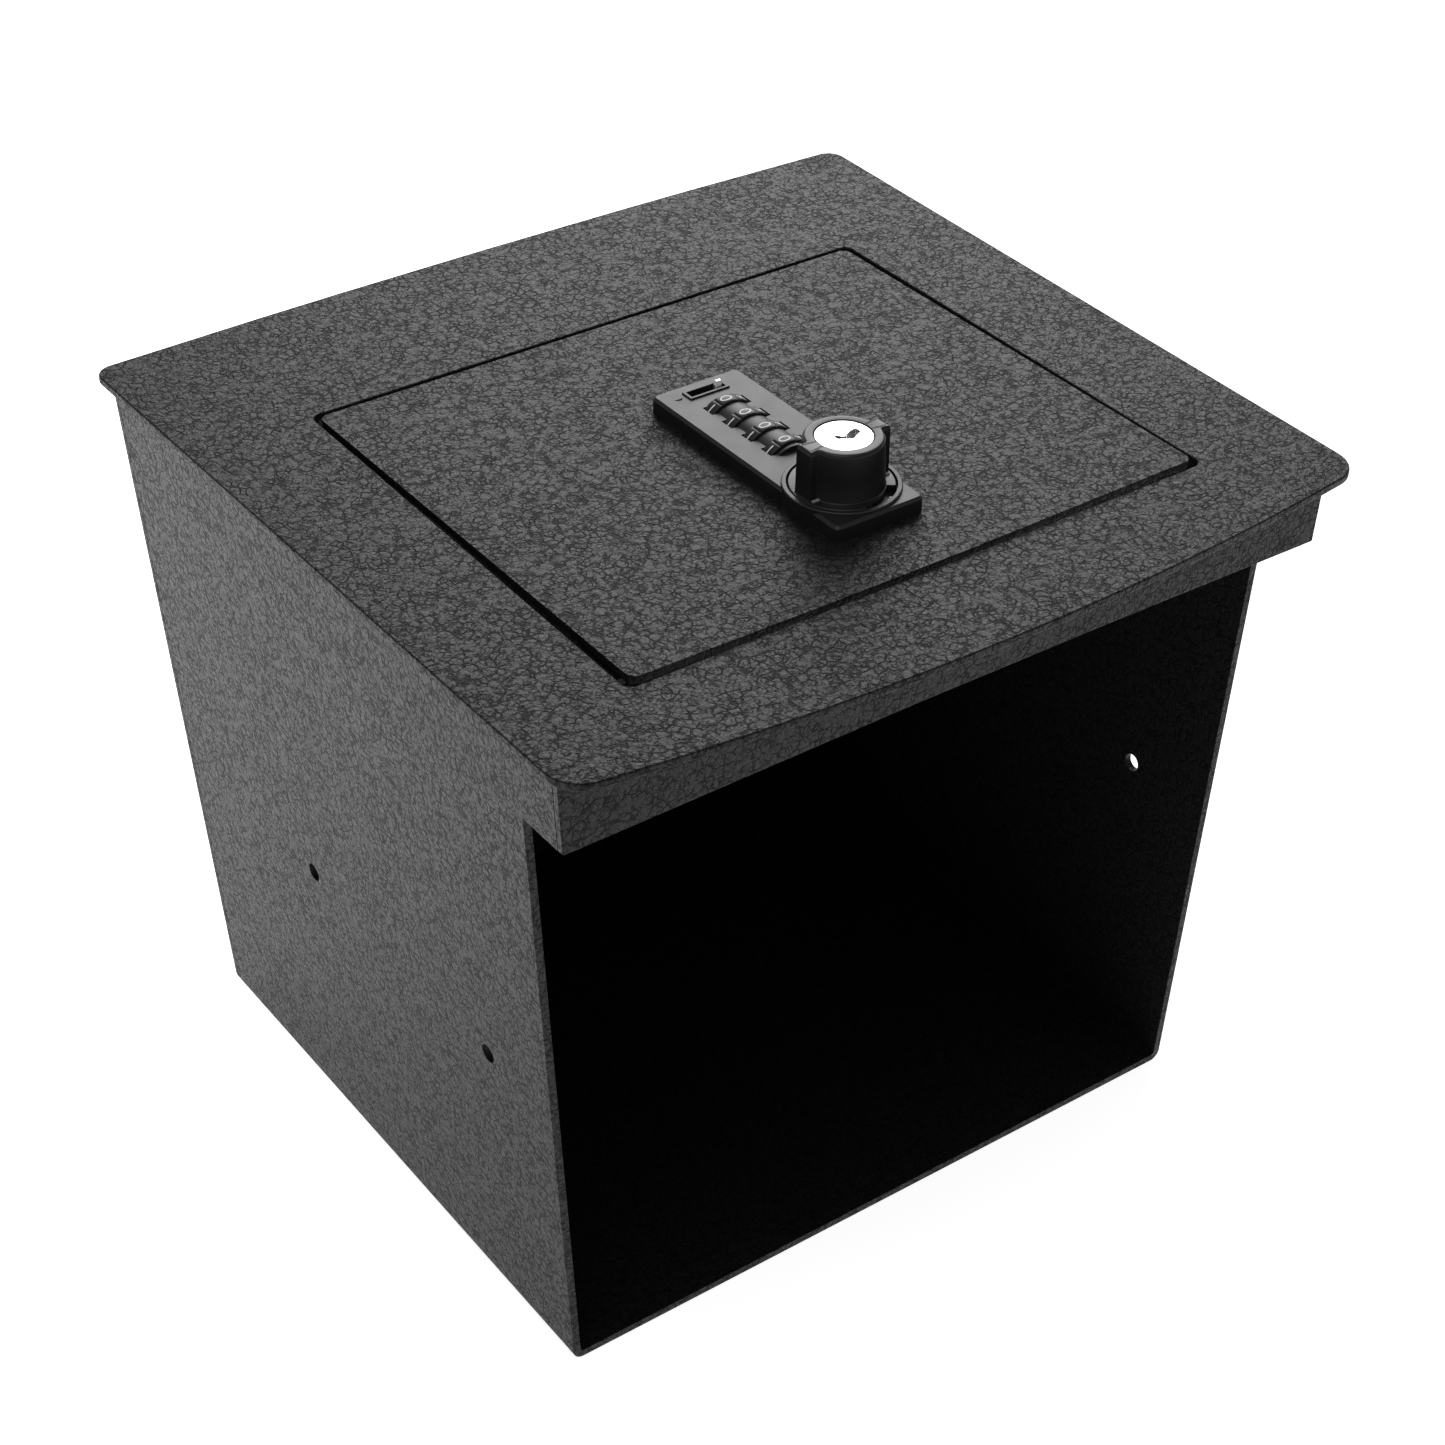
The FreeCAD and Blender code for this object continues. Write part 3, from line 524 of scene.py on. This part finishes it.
def plug_mesh():
    """Disc with the keyway as a real hole, chamfered rims, a floor 4 mm down."""
    bm = bmesh.new()
    n = 144
    z = 22.8
    key = [Vector((x, y)) for x, y in KEYWAY]
    for _ in range(2):
        fine = []
        for i in range(len(key)):
            a, b = key[i], key[(i + 1) % len(key)]
            fine += [a.lerp(b, 0.25), a.lerp(b, 0.75)]
        key = fine
    area = sum(key[i].x * key[(i + 1) % len(key)].y - key[(i + 1) % len(key)].x * key[i].y for i in range(len(key)))
    if area < 0:
        key.reverse()

    def loop(points, zz):
        return [bm.verts.new((p[0], p[1], zz)) for p in points]

    def wall(a, b):
        m = len(a)
        for i in range(m):
            bm.faces.new((a[i], a[(i + 1) % m], b[(i + 1) % m], b[i]))

    def disc(r):
        return [(r * math.cos(2 * math.pi * i / n), r * math.sin(2 * math.pi * i / n)) for i in range(n)]

    low_ring = loop(disc(9.15), 7.4)
    o1 = loop(disc(9.15), z - 0.3)
    o2 = loop(disc(9.06), z - 0.08)
    o3 = loop(disc(8.85), z)
    wall(low_ring, o1)
    wall(o1, o2)
    wall(o2, o3)
    # a shallow rolled rim around the face
    o4 = loop(disc(8.55), z - 0.03)
    o5 = loop(disc(8.3), z - 0.10)
    wall(o3, o4)
    wall(o4, o5)
    zf = z - 0.10
    k0 = loop([(p.x, p.y) for p in inset(key, -0.12)], zf)
    k1 = loop([(p.x, p.y) for p in key], zf - 0.14)
    k2 = loop([(p.x, p.y) for p in key], z - 4.5)
    wall(k1, k0)
    wall(k2, k1)
    bm.faces.new(k2)
    bm.faces.new(low_ring[::-1])
    edges = []
    for ring in (o5, k0):
        m = len(ring)
        edges += [bm.edges.get((ring[i], ring[(i + 1) % m])) for i in range(m)]
    bmesh.ops.triangle_fill(bm, use_beauty=True, use_dissolve=False, edges=edges)
    bmesh.ops.recalc_face_normals(bm, faces=bm.faces)
    verts = [tuple(q.co) for q in bm.verts]
    index = {q: i for i, q in enumerate(bm.verts)}
    faces = [tuple(index[q] for q in fc.verts) for fc in bm.faces]
    bm.free()
    return verts, faces


v, f = plug_mesh()
plug = piece("key_plug_face", v, f, "plug", [NICKEL], smooth=30)
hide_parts("key_plug")

# --- numeral dials
STROKE = 0.5
TALL, WIDE = 4.3, 2.9


def ellipse(cx, cy, rx, ry, a0=0, a1=360, n=28):
    return [(cx + rx * math.cos(math.radians(a0 + (a1 - a0) * i / n)),
             cy + ry * math.sin(math.radians(a0 + (a1 - a0) * i / n))) for i in range(n + 1)]


# strokes in a box 1 wide and 1.5 tall, centred on the origin, y up
DIGITS = {
    0: [ellipse(0, 0, 0.48, 0.72)],
    1: [[(0.0, -0.72), (0.0, 0.72)]],
    2: [ellipse(0, 0.32, 0.44, 0.40, 165, -35, 16) + [(-0.46, -0.72), (0.48, -0.72)]],
    3: [ellipse(0, 0.36, 0.40, 0.36, 150, -90, 16), ellipse(0, -0.33, 0.45, 0.39, 90, -150, 16)],
    4: [[(0.22, -0.72), (0.22, 0.72), (-0.48, -0.30), (0.50, -0.30)]],
    5: [[(0.42, 0.72), (-0.34, 0.72), (-0.42, 0.06)] + ellipse(0, -0.24, 0.46, 0.48, 140, -140, 18)],
    6: [ellipse(0, -0.27, 0.44, 0.45), [(-0.44, -0.24), (-0.30, 0.30), (0.16, 0.74)]],
    7: [[(-0.46, 0.72), (0.46, 0.72), (-0.12, -0.72)]],
    8: [ellipse(0, 0.36, 0.37, 0.36), ellipse(0, -0.34, 0.45, 0.39)],
    9: [ellipse(0, 0.27, 0.44, 0.45), [(0.44, 0.24), (0.30, -0.30), (-0.16, -0.74)]],
}


def ribbon(path, width):
    """Left and right sides of a stroke, with rounded ends."""
    p = [Vector(q) for q in path]
    shut = (p[0] - p[-1]).length < 1e-6
    if not shut:
        more = [p[0]]
        for a, b in zip(p, p[1:]):
            m = max(1, int((b - a).length / 0.35))
            more += [a.lerp(b, (i + 1) / m) for i in range(m)]
        p = more
    sides = []
    h = width / 2
    for i, q in enumerate(p):
        if shut:
            t = (p[(i + 1) % (len(p) - 1)] - p[i - 1 if i else -2]).normalized()
        else:
            t = (p[min(i + 1, len(p) - 1)] - p[max(i - 1, 0)]).normalized()
        nrm = Vector((-t.y, t.x))
        sides.append((q + nrm * h, q - nrm * h))
    if not shut:
        t0 = (p[0] - p[1]).normalized()
        t1 = (p[-1] - p[-2]).normalized()
        n0, n1 = Vector((-t0.y, t0.x)), Vector((-t1.y, t1.x))
        head, tail = [], []
        for d in (0.5, 0.87):
            w = math.sqrt(1 - d * d)
            head.append((p[0] + t0 * h * d - n0 * h * w, p[0] + t0 * h * d + n0 * h * w))
            tail.append((p[-1] + t1 * h * d + n1 * h * w, p[-1] + t1 * h * d - n1 * h * w))
        sides = head[::-1] + sides + tail
    return sides, shut


def dial(index, y_centre):
    radius, half = 10.5, 2.35
    axis_z = -2.3
    phase = math.radians(2.5)
    n = 400
    verts, faces, mats = [], [], []

    def add(v, f, m):
        base = len(verts)
        verts.extend(v)
        faces.extend(tuple(i + base for i in q) for q in f)
        mats.extend([m] * len(f))

    def groove(a):
        """Depth of the finger grooves between numerals."""
        step = 2 * math.pi / 10
        d = (a / step) % 1.0
        d = abs(d - 0.5) * step * radius
        return 0.32 * max(0.0, 1 - (d / 0.52) ** 2) if d < 0.52 else 0.0

    def ring(y, drop, cut=1.0):
        out = []
        for i in range(n):
            a = 2 * math.pi * i / n
            r = radius - drop - groove(a) * cut
            b = math.pi / 2 + phase + a
            out.append((r * math.cos(b), y_centre + y, axis_z + r * math.sin(b)))
        return out

    def hub(y, r):
        return [(r * math.cos(math.pi / 2 + phase + 2 * math.pi * i / n), y_centre + y,
                 axis_z + r * math.sin(math.pi / 2 + phase + 2 * math.pi * i / n)) for i in range(n)]

    rows = [hub(-half, 1.6), hub(-half, 3.2), hub(-half + 0.25, 3.5), hub(-half + 0.25, 8.2), hub(-half, 8.5),
            ring(-half, 0.45), ring(-half + 0.12, 0.14), ring(-half + 0.4, 0.0), ring(half - 0.4, 0.0),
            ring(half - 0.12, 0.14), ring(half, 0.45), hub(half, 8.5), hub(half - 0.25, 8.2),
            hub(half - 0.25, 3.5), hub(half, 3.2), hub(half, 1.6)]
    v, f = stack(rows + [rows[0]], closed_ends=False)
    add(v, f, 0)

    def wrap(u, w, r):
        # u runs up the numeral along the rim, w across the dial
        b = math.pi / 2 + phase + u / radius
        return (r * math.cos(b), y_centre + w, axis_z + r * math.sin(b))

    for digit, strokes in DIGITS.items():
        at = digit * 2 * math.pi / 10 * radius
        for path in strokes:
            sx, sy = (WIDE - STROKE) / 0.96, (TALL - STROKE) / 1.44
            scaled = [(x * sx, y * sy) for x, y in path]
            sides, shut = ribbon(scaled, STROKE)
            m = len(sides)
            pts = []
            for a, b in sides:
                for q, r in ((a, radius - 0.15), (a, radius + 0.03), (b, radius + 0.03), (b, radius - 0.15)):
                    pts.append(wrap(at - q.y, -q.x, r))
            quads = []
            for i in range(m if False else m - 1):
                for j in range(4):
                    k = (j + 1) % 4
                    quads.append((i * 4 + j, i * 4 + k, (i + 1) * 4 + k, (i + 1) * 4 + j))
            if not shut:
                quads.append((0, 3, 2, 1))
                quads.append(tuple((m - 1) * 4 + j for j in range(4)))
            add(pts, quads, 1)
    ob = piece("dial_wheel_%d" % index, verts, faces, "dial_%d" % index, [DIAL, PAINT],
               face_mats=mats, smooth=38)
    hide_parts("dial_%d" % index)


for i in range(4):
    j = joints["dial_%d_spin" % (i + 1)]
    dial(i + 1, to_lock(j["pos_m"]).y)

# --- index marks under the knob, a dot and a row of plain dashes
marks_v, marks_f = [], []


def dash(a0, a1, r0, r1, z0, z1, n=4):
    base = len(marks_v)
    a0, a1 = math.radians(a0), math.radians(a1)
    loop = [(r0, a0 + (a1 - a0) * i / n) for i in range(n + 1)] + [(r1, a1 - (a1 - a0) * i / n) for i in range(n + 1)]
    m = len(loop)
    for z in (z0, z1):
        marks_v.extend((r * math.cos(a), r * math.sin(a), z) for r, a in loop)
    marks_f.append(tuple(base + i for i in range(m))[::-1])
    marks_f.append(tuple(base + m + i for i in range(m)))
    marks_f.extend((base + i, base + (i + 1) % m, base + m + (i + 1) % m, base + m + i) for i in range(m))


for i in range(7):
    dash(-92 + 6.2 * i, -92 + 6.2 * i + 3.6, 15.15, 16.45, 3.8, 3.93)
base = len(marks_v)
ring_pts = circle_points(0.42, 3.8, 16, -1.7, -13.9)
marks_v += ring_pts + [(x, y, 3.93) for x, y, z in ring_pts]
marks_f.append(tuple(base + i for i in range(16))[::-1])
marks_f.append(tuple(base + 16 + i for i in range(16)))
marks_f.extend((base + i, base + (i + 1) % 16, base + 16 + (i + 1) % 16, base + 16 + i) for i in range(16))
piece("index_marks", marks_v, marks_f, "lid", [PAINT], smooth=30)

# --- crescent of painted shade standing in for the shadow inside the reset hole beside the window
cres = []
m = 20
for i in range(m + 1):
    a = math.pi + math.pi * i / m
    cres.append((-10.85 + 1.45 * math.cos(a), 71.8 + 1.25 * math.sin(a)))
for i in range(1, m):
    a = 2 * math.pi - math.pi * i / m
    cres.append((-10.85 + 1.45 * math.cos(a), 71.8 + 0.25 * math.sin(a)))
k = len(cres)
cv = [(x, y, 5.2) for x, y in cres] + [(x, y, 5.515) for x, y in cres]
cf = [tuple(range(k))[::-1], tuple(range(k, 2 * k))] + [(i, (i + 1) % k, k + (i + 1) % k, k + i) for i in range(k)]
piece("reset_hole_painted_shade", cv, cf, "lid", [satin_black("painted_shade_black", tone=0.003, rough=0.7, specular=0.05)])

# ------------------------------------------------------------------ floor, light, camera
me = bpy.data.meshes.new("floor")
S = 14.0
me.from_pydata([(-S, -S, -0.0002), (S, -S, -0.0002), (S, S, -0.0002), (-S, S, -0.0002)], [], [(0, 1, 2, 3)])
floor = bpy.data.objects.new("floor", me)
bpy.context.scene.collection.objects.link(floor)
fm = Maker("floor_panel")
xyz = fm.node("ShaderNodeSeparateXYZ", {"Vector": fm.co}).outputs
# painted light: the floor itself glows, its emission rising from the front left to the back right
away = fm.math("SUBTRACT", fm.math("MULTIPLY", xyz[1], 0.8), fm.math("MULTIPLY", xyz[0], 0.6))
glow = fm.span(away, -0.05, 0.55, 0.82, 1.75)
fm.bsdf.inputs["Emission Color"].default_value = (1, 1, 1, 1)
fm.put(fm.bsdf.inputs["Emission Strength"], glow)
fm.finish(fm.mix(fm.noise(3, 2), (0.78, 0.78, 0.78), (0.80, 0.80, 0.80)), 0.8, fm.bump(fm.noise(600, 2), 0.00002), specular=0.2)
me.materials.append(fm.m)

world = bpy.data.worlds.new("studio")
bpy.context.scene.world = world
world.use_nodes = True
world.node_tree.nodes["Background"].inputs["Color"].default_value = (1, 1, 1, 1)
world.node_tree.nodes["Background"].inputs["Strength"].default_value = 0.28


def lamp(name, where, target, size, power):
    d = bpy.data.lights.new(name, "AREA")
    d.shape = "SQUARE"
    d.size = size
    d.energy = power
    o = bpy.data.objects.new(name, d)
    o.location = where
    o.rotation_euler = (Vector(target) - Vector(where)).to_track_quat("-Z", "Y").to_euler()
    o.visible_camera = False
    bpy.context.scene.collection.objects.link(o)
    return o


mid = (cad_lo + cad_hi) / 2
lamp("back_softbox", (1.15, 1.45, 1.35), (0, 0, 0.2), 1.5, 34)
lamp("overhead", (-0.5, -0.3, 2.2), (0, 0, 0.1), 1.2, 8)

cam_data = bpy.data.cameras.new("camera")
cam_data.lens = 73.617
cam_data.sensor_width = 36.0
cam_data.clip_start, cam_data.clip_end = 0.01, 100
cam = bpy.data.objects.new("camera", cam_data)
bpy.context.scene.collection.objects.link(cam)
cam.matrix_world = Matrix((
    (0.81014785, 0.32973570, -0.48470076, -0.493107),
    (-0.58585258, 0.48488701, -0.64935456, -0.662652),
    (0.02090972, 0.81003639, 0.58600668, 0.741799),
    (0, 0, 0, 1)))
bpy.context.scene.camera = cam
bpy.context.scene.view_settings.view_transform = "Standard"
